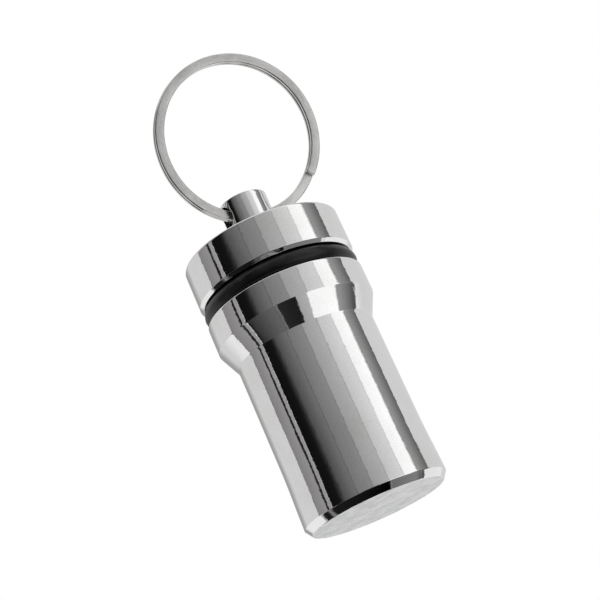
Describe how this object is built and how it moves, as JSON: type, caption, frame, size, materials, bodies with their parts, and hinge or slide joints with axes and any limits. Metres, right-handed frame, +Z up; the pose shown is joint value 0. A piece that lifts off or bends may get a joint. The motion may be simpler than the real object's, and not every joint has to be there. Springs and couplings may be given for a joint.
{
  "type": "keychain pill capsule",
  "caption": "Waterproof metal pill capsule with a screw cap, a rubber sealing ring and a split ring for a key chain.",
  "frame": {"origin": "centre of the flat base of the case", "axes": "+Z up the axis of the case towards the cap and the split ring; +X is 26 degrees from the axis of the cross hole in the boss"},
  "size_m": [0.0287, 0.025, 0.0741],
  "materials": {
    "case": "mirror polished, turned",
    "cap": "mirror polished, turned",
    "seal": "smooth black rubber",
    "ring": "nickel plate with fine brush lines on the flats"
  },
  "bodies": {
    "case": {"case": "case"},
    "seal": {"sealing_ring": "seal"},
    "cap": {"screw_cap": "cap"},
    "ring": {"split_ring": "ring"}
  },
  "joints": [
    {"name": "seal_lift", "type": "slide", "parent": "case", "child": "seal", "axis": [0, 0, 1], "range_m": [0, 0.012]},
    {"name": "cap_turn", "type": "hinge", "parent": "seal", "child": "cap", "pos_m": [0, 0, 0.044], "axis": [0, 0, 1], "range_deg": [0, 2880]},
    {"name": "ring_swing", "type": "hinge", "parent": "cap", "child": "ring", "pos_m": [0, 0, 0.0495], "axis": [0.8988, 0.4384, 0], "range_deg": [-136, 98]}
  ],
  "couplings": [
    {"joint": "seal_lift", "follows": "cap_turn", "m_per_rad": 0.00023873}
  ]
}
